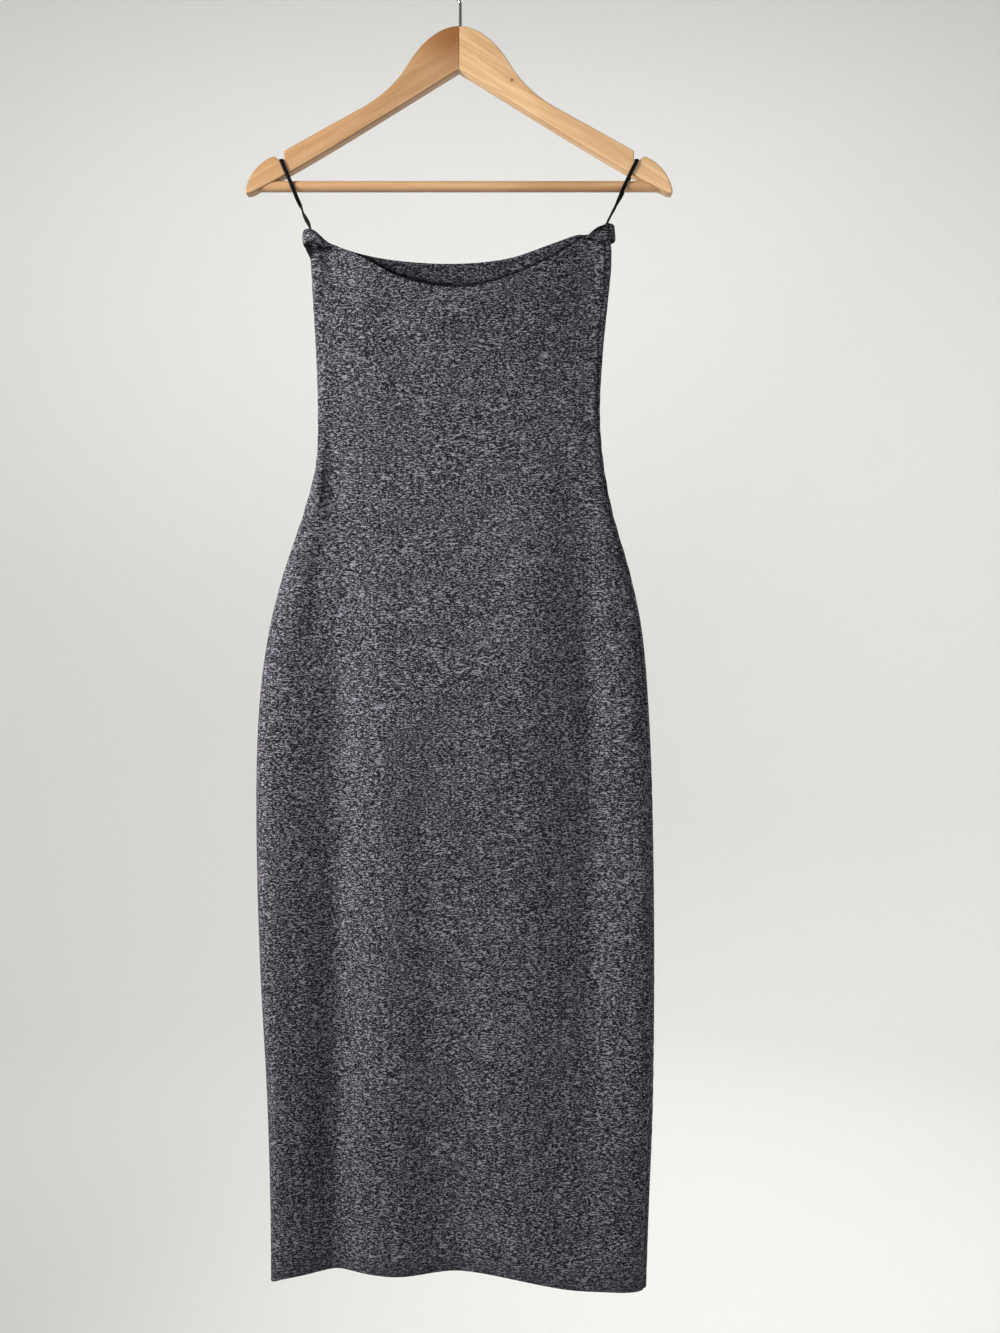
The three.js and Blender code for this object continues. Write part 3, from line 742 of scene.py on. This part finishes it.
def cloth_wall(name, middle, normals, marks):
    """A closed wall round a grid of points, its columns joined round the top edge and the hem.

    Each mark is a pair of grids of values, for the outer and the inner side."""
    half = CLOTH / 2
    outer = middle + normals * half
    inner = middle - normals * half
    beyond_top = unit(middle[:, -1] - middle[:, -2])
    beyond_foot = unit(middle[:, 0] - middle[:, 1])
    top = np.stack(rim(middle[:, -1], normals[:, -1], beyond_top), axis=1)
    foot = np.stack(rim(middle[:, 0], -normals[:, 0], beyond_foot), axis=1)
    loops = np.concatenate([outer, top, inner[:, ::-1], foot], axis=1)
    columns, around = loops.shape[:2]
    rows = middle.shape[1]

    def at(column, k):
        return column * around + k % around

    faces = []
    for i in range(columns - 1):
        faces += [(at(i, k), at(i + 1, k), at(i + 1, k + 1), at(i, k + 1)) for k in range(around)]
    opposite = 2 * rows + RIM_STEPS - 1
    for j in range(rows - 1):
        first, last = 0, columns - 1
        faces.append((at(first, j), at(first, j + 1), at(first, opposite - j - 1), at(first, opposite - j)))
        faces.append((at(last, j), at(last, opposite - j), at(last, opposite - j - 1), at(last, j + 1)))
    for column, turn in ((0, 1), (columns - 1, -1)):
        top_rim = [at(column, k) for k in range(rows - 1, rows + RIM_STEPS + 1)]
        foot_rim = [at(column, k) for k in range(2 * rows + RIM_STEPS - 1, around + 1)]
        faces += [tuple(top_rim[::turn]), tuple(foot_rim[::turn])]
    obj = link_mesh(name, loops.reshape(-1, 3), faces, "cloth")
    for key, (outside, inside) in marks.items():
        looped = np.concatenate([outside, outside[:, -1:].repeat(RIM_STEPS, 1), inside[:, ::-1],
                                 outside[:, :1].repeat(RIM_STEPS, 1)], axis=1)
        float_attribute(obj, key, looped)
    return obj


def make_panel(panel, columns):
    ups = np.concatenate([np.linspace(0, 1, BODY_ROWS, endpoint=False), np.linspace(1, 2, BAND_ROWS)])
    places = panel_places(panel, columns, ups)
    middle = cloth_point(places, np.broadcast_to(ups, places.shape))
    from_side = side_distance(middle)
    middle = soften(middle, from_side)
    normals = grid_normals(middle)
    facing = np.abs(normals[..., 1])
    relief = crease_depth(CREASES[panel], middle[..., 0], middle[..., 2]) * facing
    relief += seam_relief(from_side, middle[..., 2])
    bulge = lip_bulge(middle) * (ups <= 1)
    middle = middle + normals * relief[..., None]
    middle[..., 0] += bulge
    band = ups > 1
    middle[:, band, 0] += lip_rounding(middle[:, band])
    for end, neighbour in ((0, 1), (-1, -2)):
        middle[end] += unit(middle[neighbour] - middle[end]) * SEAM_GAP / 2
    normals = grid_normals(middle)
    from_hem = middle[..., 2] - edge_height(HEMLINE, places, "hem")
    # Painted shade: the depths of the front's corner folds on both sides, and on the inner side also the
    # inside's painted shade
    painted_shade = fold_shade(panel, middle)
    marks = {
        "from_hem": (from_hem, from_hem),
        "from_seam": (from_side, from_side),
        "painted_shade": (painted_shade, inside_shade(panel, middle, places, ups) * painted_shade),
    }
    return cloth_wall(panel + "_cloth", middle, normals, marks)


def catmull_rom(points, steps):
    """Points of a centripetal curve through the given ones."""
    points = np.asarray(points, float)
    padded = np.vstack([2 * points[0] - points[1], points, 2 * points[-1] - points[-2]])
    t = np.linspace(0, len(points) - 1, steps + 1)
    i = np.minimum(t.astype(int), len(points) - 2)
    w = (t - i)[:, None]
    a, b, c, d = (padded[i + k] for k in range(4))
    ab, bc, cd = (np.sqrt(np.linalg.norm(q - p, axis=1))[:, None] for p, q in ((a, b), (b, c), (c, d)))
    start = ((b - a) / ab - (c - a) / (ab + bc) + (c - b) / bc) * bc
    end = ((c - b) / bc - (d - b) / (bc + cd) + (d - c) / cd) * bc
    return hermite(b, c, start, end, w)


def loop_route(side, edge):
    """A loop's points: its tail, up the front, through the notch and down the back."""
    inside = -side

    def edge_x(z):
        return float(edge.at(np.array([float(z)]))[0][0])

    rim_height = float(read_table(NECKLINE["x"], NECKLINE["front"], np.array([edge_x(LEVELS["neck"])]))[0])
    end, tab, over_rim, twist = (rim_height + up for up in LOOP_ABOVE_RIM.values())
    notch_x = JOINT + side * LOOP_NOTCH
    reach = WOOD_THICKNESS / 2 + RIBBON_SPACE / 2 + 2 * FIT
    seat = NOTCH_FLOOR + RIBBON_SPACE / 2 + FIT

    def outer(z, more=0):
        return edge_x(z) + inside * (LOOP_STAND_OFF + more)

    def inner(z, more=0):
        return outer(z, more + RIBBON_SPACE + FIT)

    def lean(z):
        share = (z - over_rim) / (NOTCH_FLOOR - over_rim)
        return outer(rim_height, -LOOP_LEAN_OUT) * (1 - share) + notch_x * share

    return [
        (outer(end), 0, end),
        (outer(tab), 0, tab),
        (outer(rim_height, -LOOP_RIM_OUT), -LOOP_RIM_DEPTH, over_rim),
        (lean(twist), -LOOP_TWIST_DEPTH, twist),
        (lean(LOOP_FLAT), LOOP_FLAT_DEPTH - reach, LOOP_FLAT),
        (lean(LOOP_WOOD), -reach, LOOP_WOOD),
        (notch_x, -reach, seat - LOOP_BEND),
        (notch_x, LOOP_BEND - reach, seat),
        (notch_x, 0, seat),
        (notch_x, reach - LOOP_BEND, seat),
        (notch_x, reach, seat - LOOP_BEND),
        (lean(LOOP_WOOD), reach, LOOP_WOOD),
        (lean(LOOP_FLAT), reach - LOOP_FLAT_DEPTH, LOOP_FLAT),
        (lean(twist) + inside * (RIBBON_SPACE + FIT), LOOP_TWIST_DEPTH, twist),
        (inner(rim_height, -LOOP_RIM_OUT), LOOP_RIM_DEPTH, over_rim),
        (inner(tab), 0, tab),
        (inner(end), 0, end),
    ]


def make_loop(name, side, edge):
    """A ribbon swept along its route, with rounded selvedges."""
    centres = catmull_rom(loop_route(side, edge), RIBBON_STEPS)
    rows = LOOP_TURNS["left" if side < 0 else "right"]
    turns = np.radians(np.interp(centres[:, 2], rows["z"], rows["turn"]))
    turns[len(turns) // 2:] *= -1
    along = unit(np.gradient(centres, axis=0))
    width = np.stack([np.cos(turns), np.sin(turns), np.zeros_like(turns)], axis=1)
    width = unit(width - along * (width * along).sum(axis=1, keepdims=True))
    through = np.cross(along, width)
    half_w, half_t = RIBBON_WIDTH / 2, RIBBON_THICKNESS / 2
    flat = half_w - half_t
    section = [(-flat, -half_t), (0, -half_t), (flat, -half_t), (half_w, 0),
               (flat, half_t), (0, half_t), (-flat, half_t), (-half_w, 0)]
    points = np.stack([centres + width * a + through * b for a, b in section], axis=1)
    return link_mesh(name, points.reshape(-1, 3), tube_faces(len(centres), len(section)), "ribbon")


def tube_faces(sections, count):
    """Faces of a closed tube of so many sections, each of so many points."""
    faces = []
    for i in range(sections - 1):
        for k in range(count):
            a, b = i * count + k, i * count + (k + 1) % count
            faces.append((a, b, b + count, a + count))
    end = (sections - 1) * count
    faces.append(tuple(reversed(range(count))))
    faces.append(tuple(range(end, end + count)))
    return faces


def bezier(steps, *controls):
    """Points of a Bezier curve, without its first one."""
    t = np.linspace(0, 1, steps + 1)[1:, None]
    levels = [np.array(point, float) * np.ones_like(t) for point in controls]
    while len(levels) > 1:
        levels = [a * (1 - t) + b * t for a, b in zip(levels, levels[1:])]
    return levels[0]


def arm_outline():
    """One arm by distance from the joint and height, from the crown round the tip and back underneath."""
    top = [bezier(*curve) for curve in ARM_TOP]
    tip = [bezier(*curve) for curve in ARM_TIP]
    return np.vstack([[(JOINT_GAP, CROWN)], *top, ARM_NOTCH, *tip, bezier(*ARM_UNDERSIDE)])


def inset_outline(outline, inset):
    """The outline moved inward by a distance, its corners mitred."""
    steps = (outline - np.roll(outline, 1, axis=0), np.roll(outline, -1, axis=0) - outline)
    before, after = (unit(np.stack([step[:, 1], -step[:, 0]], axis=1)) for step in steps)
    mitre = (before + after) / (1 + (before * after).sum(axis=1, keepdims=True))
    return outline + mitre * inset


def make_arm(name, side):
    """A flat arm with rounded edges."""
    outline = arm_outline()
    half = WOOD_THICKNESS / 2
    turns = np.linspace(0, math.pi / 2, WOOD_EDGE_STEPS)
    profile = [(WOOD_EDGE * (1 - math.sin(a)), half - WOOD_EDGE * (1 - math.cos(a))) for a in turns]
    profile = [(inset, -y) for inset, y in profile] + [(inset, y) for inset, y in reversed(profile)]
    rings = []
    for inset, y in profile:
        moved = inset_outline(outline, inset)
        moved[[0, -1], 0] = outline[[0, -1], 0] + JOINT_EASE * inset
        rings.append(np.stack([JOINT + side * moved[:, 0], np.full(len(moved), y), moved[:, 1]], axis=1))
    faces = tube_faces(len(rings), len(outline))
    if side > 0:
        faces = [tuple(reversed(face)) for face in faces]
    return link_mesh(name, np.vstack(rings), faces, "arm")


def make_bar(name):
    """The trouser bar, its ends cut to the underside of the arms."""
    steps = ARM_UNDERSIDE[0]
    under = arm_outline()[-steps - 1:]
    order = np.argsort(under[:, 1])
    turns = np.linspace(0, 2 * math.pi, BAR_SIDES, endpoint=False)
    y = BAR_RADIUS * np.cos(turns)
    z = BAR_HEIGHT + BAR_RADIUS * np.sin(turns)
    reach = np.interp(z + FIT, under[order, 1], under[order, 0]) - FIT / 2
    middle = np.linspace(-BAR_MIDDLE, BAR_MIDDLE, BAR_MIDDLE_RINGS)
    right = np.array(BAR_END_RINGS)
    shares = np.concatenate([-right[::-1], middle, right])
    rings = [np.stack([JOINT + reach * share, y, z], axis=1) for share in shares]
    faces = [tuple(reversed(face)) for face in tube_faces(len(rings), len(turns))]
    return link_mesh(name, np.vstack(rings), faces, "bar")


def make_hook(name):
    """The wire: a stem in the wood, a swing to the left, and a bow with a rounded tip."""
    radius = BOW + WIRE
    stem = np.array([[STEM_X, z] for z in np.linspace(STEM_FOOT, STEM_TOP, HOOK_STEPS["stem"])])
    leave = (STEM_X, STEM_TOP + SWING_FROM_STEM)
    arrive = (-radius, -BOW - SWING_TO_BOW)
    swing = bezier(HOOK_STEPS["swing"], (STEM_X, STEM_TOP), leave, arrive, (-radius, -BOW))
    angles = np.radians(np.linspace(180, BOW_TIP, HOOK_STEPS["bow"]))[1:]
    bow = np.stack([radius * np.cos(angles), radius * np.sin(angles) - BOW], axis=1)
    path = np.vstack([stem, swing, bow])
    along = unit(np.gradient(path, axis=0))
    sizes = np.full(len(path), float(WIRE))
    tip = [(math.sin(a) * WIRE, math.cos(a) * WIRE) for a in np.radians(WIRE_TIP_ANGLES)]
    path = np.vstack([path, *(path[-1] + along[-1] * ahead for ahead, _ in tip)])
    along = np.vstack([along, np.repeat(along[-1:], len(tip), axis=0)])
    sizes = np.concatenate([sizes, [size for _, size in tip]])
    turns = np.linspace(0, 2 * math.pi, WIRE_SIDES, endpoint=False)
    aside = np.stack([along[:, 1], -along[:, 0]], axis=1)
    rings = []
    for centre, out, size in zip(path, aside, sizes):
        x = centre[0] + out[0] * size * np.cos(turns)
        z = centre[1] + out[1] * size * np.cos(turns)
        rings.append(np.stack([x, -size * np.sin(turns), z], axis=1))
    return link_mesh(name, np.vstack(rings), tube_faces(len(rings), len(turns)), "wire")


class Shader:
    """Short calls for building one material's nodes."""

    def __init__(self, name):
        self.material = bpy.data.materials.new(name)
        self.material.use_nodes = True
        self.tree = self.material.node_tree
        self.surface = self.tree.nodes["Principled BSDF"]

    def node(self, kind, inputs=(), **settings):
        node = self.tree.nodes.new(kind)
        for key, value in settings.items():
            setattr(node, key, value)
        self.fill(node, dict(inputs))
        return node

    def fill(self, node, inputs):
        for key, value in inputs.items():
            if isinstance(value, bpy.types.NodeSocket):
                self.tree.links.new(value, node.inputs[key])
            else:
                node.inputs[key].default_value = value

    def place(self, scale, turn=(0, 0, 0)):
        """Object coordinates, turned and then scaled: a scale is features to the metre."""
        where = self.node("ShaderNodeTexCoord").outputs["Object"]
        turned = self.node("ShaderNodeVectorRotate", {"Vector": where, "Rotation": turn},
                           rotation_type="EULER_XYZ")
        return self.node("ShaderNodeVectorMath", {0: turned.outputs[0], 1: scale},
                         operation="MULTIPLY").outputs[0]

    def noise(self, scale, detail=2.0, roughness=0.5, distortion=0.0, turn=(0, 0, 0)):
        inputs = {"Vector": self.place(scale, turn), "Scale": 1.0, "Detail": detail,
                  "Roughness": roughness, "Distortion": distortion}
        return self.node("ShaderNodeTexNoise", inputs).outputs["Fac"]

    def spread(self, value, low, high, to_low=0.0, to_high=1.0, smooth=True):
        kind = "SMOOTHSTEP" if smooth else "LINEAR"
        inputs = {"Value": value, "From Min": low, "From Max": high, "To Min": to_low, "To Max": to_high}
        return self.node("ShaderNodeMapRange", inputs, interpolation_type=kind).outputs["Result"]

    def math(self, operation, a, b=0.0):
        return self.node("ShaderNodeMath", {0: a, 1: b}, operation=operation).outputs[0]

    def mix(self, factor, a, b, blend="MIX"):
        node = self.node("ShaderNodeMix", data_type="RGBA", blend_type=blend)
        self.fill(node, {"Factor": factor, 6: a, 7: b})
        return node.outputs[2]

    def grey(self, value):
        return self.node("ShaderNodeCombineColor", {0: value, 1: value, 2: value}).outputs[0]

    def attribute(self, name):
        return self.node("ShaderNodeAttribute", attribute_name=name).outputs["Fac"]

    def bump(self, height, distance, strength=1.0):
        inputs = {"Height": height, "Distance": distance, "Strength": strength}
        return self.node("ShaderNodeBump", inputs).outputs["Normal"]


def cloth_material():
    """Charcoal marl: light horizontal slubs over a dark violet-grey ground, with a finer grain between."""
    s = Shader("charcoal_marl")
    slubs = s.noise(SLUB_SCALE, detail=1.0)
    grain = s.noise(GRAIN_SCALE, detail=1.5, roughness=0.6)
    clouds = s.noise(CLOUD_SCALE, detail=2.0)
    light = s.math("ADD", s.spread(slubs, *SLUB_LIGHT), s.spread(grain, *GRAIN_LIGHT))
    light = s.math("ADD", light, s.spread(clouds, *CLOUD_LIGHT, smooth=False))
    colour = s.mix(light, MARL_DARK, MARL_LIGHT)
    colour = s.mix(s.spread(s.attribute("from_hem"), *HEM_FADE), colour, HEM_TINT)
    # Painted shade: darker along the seam lines, times the painted shade of the corner folds and the inside
    seam = s.spread(s.attribute("from_seam"), *SEAM_FADE)
    painted_shade = s.math("MULTIPLY", seam, s.attribute("painted_shade"))
    colour = s.mix(1.0, colour, s.grey(painted_shade), blend="MULTIPLY")
    s.fill(s.surface, {"Base Color": colour, "Roughness": 0.92, "Specular IOR Level": 0.06,
                       "Sheen Weight": 0.03, "Sheen Roughness": 0.45,
                       "Normal": s.bump(light, 0.00035, 0.55)})
    return s.material


def ribbon_material():
    """Near black satin with a fine lengthwise sheen."""
    s = Shader("black_satin")
    threads = s.noise(THREAD_SCALE, detail=1.0)
    colour = s.mix(threads, RIBBON_DARK, RIBBON_LIGHT)
    s.fill(s.surface, {"Base Color": colour, "Roughness": 0.6, "Specular IOR Level": 0.09,
                       "Normal": s.bump(threads, 0.0001, 0.3)})
    return s.material


def wood_grain(s, turn):
    """Long fine grain along the turned X axis, and broader figure."""
    fine = s.noise(FINE_SCALE, detail=3.0, roughness=0.6, turn=turn)
    figure = s.noise(FIGURE_SCALE, detail=2.0, distortion=0.6, turn=turn)
    return fine, figure


def painted_edge_shade(s):
    """Painted shade: a thin darker line along the rounded edges between an arm's faces and its sides."""
    normal = s.node("ShaderNodeSeparateXYZ", {0: s.node("ShaderNodeTexCoord").outputs["Normal"]})
    facing = s.math("ABSOLUTE", normal.outputs["Y"])
    return s.math("MULTIPLY", s.spread(facing, *EDGE_FACING), s.spread(facing, *SIDE_FACING))


def crown_brown(s, colour, figure, across, height):
    """The left arm's browner wood near the crown, with a cross figure."""
    brown = s.math("MULTIPLY", s.spread(across, *BROWN_ACROSS), s.spread(height, *BROWN_HEIGHTS))
    brown = s.math("MULTIPLY", brown, s.spread(figure, *BROWN_FIGURE))
    colour = s.mix(brown, colour, CROWN_BROWN)
    cross = s.noise(CROSS_SCALE, detail=1.0, turn=(0, math.radians(CROSS_SLOPE), 0))
    return s.mix(s.spread(cross, *CROSS_SPREAD), colour, ARM_GRAIN)


def knot_and_vein(s, colour, across, height):
    """The right arm's small dark knot, its ring, and the thin vein that runs up from it."""
    aside = s.math("SUBTRACT", across, KNOT_PLACE[0])
    above = s.math("SUBTRACT", height, KNOT_PLACE[1])
    squares = [s.math("MULTIPLY", way, way) for way in (aside, above)]
    off = s.math("SQRT", s.math("ADD", *squares))
    colour = s.mix(s.spread(off, *KNOT_EDGE), colour, KNOT_DARK)
    colour = s.mix(s.spread(off, *KNOT_RING_EDGE), colour, KNOT_RING)
    off_vein = s.math("ABSOLUTE", s.math("ADD", above, s.math("MULTIPLY", aside, VEIN_SLOPE)))
    along = s.math("MULTIPLY", s.spread(aside, *VEIN_STARTS), s.spread(aside, *VEIN_ENDS))
    return s.mix(s.math("MULTIPLY", along, s.spread(off_vein, *VEIN_EDGE)), colour, VEIN_DARK)


def worn_tip(s, colour, across, height):
    """A darker tip at the arm's outer end."""
    from_joint = s.math("ABSOLUTE", s.math("SUBTRACT", across, JOINT * MM))
    worn = s.math("MULTIPLY", s.spread(from_joint, *TIP_WORN_FROM), s.spread(height, *TIP_WORN_BELOW))
    return s.mix(worn, colour, TIP_WORN)


def arm_material(side):
    """Pale lacquered wood, its grain along the arm. The left arm is browner near the crown."""
    s = Shader("arm_wood_left" if side < 0 else "arm_wood_right")
    fine, figure = wood_grain(s, (0, -math.radians(ARM_SLOPE) * side, 0))
    colour = s.mix(s.spread(figure, *FIGURE_SPREAD), *ARM_COLOURS[side])
    colour = s.mix(s.spread(fine, *FINE_SPREAD), colour, ARM_GRAIN)
    where = s.node("ShaderNodeSeparateXYZ", {0: s.place((1, 1, 1))})
    across, height = where.outputs["X"], where.outputs["Z"]
    if side < 0:
        colour = crown_brown(s, colour, figure, across, height)
    else:
        colour = knot_and_vein(s, colour, across, height)
    colour = worn_tip(s, colour, across, height)
    # Painted shade along the arms' rounded edges and sides
    colour = s.mix(painted_edge_shade(s), colour, EDGE_SHADE_COLOUR)
    s.fill(s.surface, {"Base Color": colour, "Roughness": 0.42, "Coat Weight": 0.25, "Coat Roughness": 0.25,
                       "Normal": s.bump(fine, 0.0001, 0.35)})
    return s.material


def bar_material():
    """The round bar: a little darker, with long straight grain."""
    s = Shader("bar_wood")
    fine, figure = wood_grain(s, (0, 0, 0))
    colour = s.mix(s.spread(figure, *FIGURE_SPREAD), *BAR_COLOURS)
    colour = s.mix(s.spread(fine, *FINE_SPREAD), colour, BAR_GRAIN)
    s.fill(s.surface, {"Base Color": colour, "Roughness": 0.45, "Coat Weight": 0.2, "Coat Roughness": 0.3,
                       "Normal": s.bump(fine, 0.0001, 0.35)})
    return s.material


def steel_material():
    """Bright plated wire with faint draw marks."""
    s = Shader("plated_steel")
    marks = s.noise(DRAW_SCALE, detail=1.0)
    s.fill(s.surface, {"Base Color": STEEL, "Metallic": 1.0,
                       "Roughness": s.spread(marks, *DRAW_ROUGHNESS, smooth=False)})
    return s.material


def stage_material():
    """Matt off-white paint."""
    s = Shader("pale_stage")
    speckle = s.noise(STAGE_SPECKLE, detail=2.0)
    colour = s.mix(speckle, *STAGE_COLOURS)
    s.fill(s.surface, {"Base Color": colour, "Roughness": 0.95, "Specular IOR Level": 0.1})
    return s.material


def make_camera():
    """A level camera, as far from the hanger's plane as the photo's."""
    camera = bpy.data.cameras.new("camera")
    camera.sensor_fit = "VERTICAL"
    camera.sensor_height = SENSOR
    camera.lens = SENSOR * CAMERA_FOCAL_PX / PHOTO_HEIGHT_PX
    obj = bpy.data.objects.new("camera", camera)
    obj.location = Vector(CAMERA_PLACE) * MM
    obj.rotation_euler = (math.pi / 2, 0, 0)
    bpy.context.scene.collection.objects.link(obj)
    bpy.context.scene.camera = obj


def make_stage():
    """A round pale floor that rises into a wall all round, open at the top."""
    flat = STAGE_RADIUS - STAGE_BEND
    profile = [(STAGE_MIDDLE, FLOOR_HEIGHT)]
    for a in np.linspace(0, math.pi / 2, STAGE_BEND_STEPS):
        rise = STAGE_BEND * (1 - math.cos(a))
        profile.append((flat + STAGE_BEND * math.sin(a), FLOOR_HEIGHT + rise))
    profile.append((STAGE_RADIUS, STAGE_TOP))
    around = np.linspace(0, 2 * math.pi, STAGE_SIDES, endpoint=False)
    circle = np.stack([np.cos(around), np.sin(around), np.zeros(STAGE_SIDES)], axis=1)
    rings = [circle * radius + np.array([0, 0, height]) for radius, height in profile]
    faces = [tuple(reversed(face)) for face in tube_faces(len(rings), len(around))[:-1]]
    stage = link_mesh("pale_stage", np.vstack(rings) / MM, faces, "stage")
    stage.data.materials.append(stage_material())


def add_light(name, place, target, size, power, spread, colour):
    light = bpy.data.lights.new(name, "AREA")
    light.shape = "SQUARE"
    light.size = size
    light.energy = power
    light.spread = math.radians(spread)
    light.color = colour
    obj = bpy.data.objects.new(name, light)
    obj.location = place
    obj.rotation_euler = (Vector(target) - Vector(place)).to_track_quat("-Z", "Y").to_euler()
    obj.visible_camera = False
    bpy.context.scene.collection.objects.link(obj)


def make_lights():
    for row in LIGHTS:
        add_light(*row)
    world = bpy.data.worlds.new("world")
    world.use_nodes = True
    background = world.node_tree.nodes["Background"]
    background.inputs["Color"].default_value = WORLD_COLOUR
    background.inputs["Strength"].default_value = WORLD_LIGHT
    bpy.context.scene.world = world
    bpy.context.scene.view_settings.view_transform = "Standard"


def dress_piece(obj, material, node):
    obj.data.materials.append(material)
    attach(obj, "root")
    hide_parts(node)
    return obj


def make_dress():
    cloth = cloth_material()
    satin = ribbon_material()
    loops = [
        dress_piece(make_loop("left_loop_ribbon", -1, LEFT_EDGE), satin, "loop_left"),
        dress_piece(make_loop("right_loop_ribbon", 1, RIGHT_EDGE), satin, "loop_right"),
    ]
    front = dress_piece(make_panel("front", FRONT_COLUMNS), cloth, "front_panel")
    back = dress_piece(make_panel("back", BACK_COLUMNS), cloth, "back_panel")


def make_hanger():
    dress_piece(make_arm("left_arm", -1), arm_material(-1), "hanger_arm_left")
    dress_piece(make_arm("right_arm", 1), arm_material(1), "hanger_arm_right")
    dress_piece(make_bar("trouser_bar"), bar_material(), "hanger_bar")
    dress_piece(make_hook("wire_hook"), steel_material(), "hanger_hook")


make_camera()
make_stage()
make_lights()
make_dress()
make_hanger()
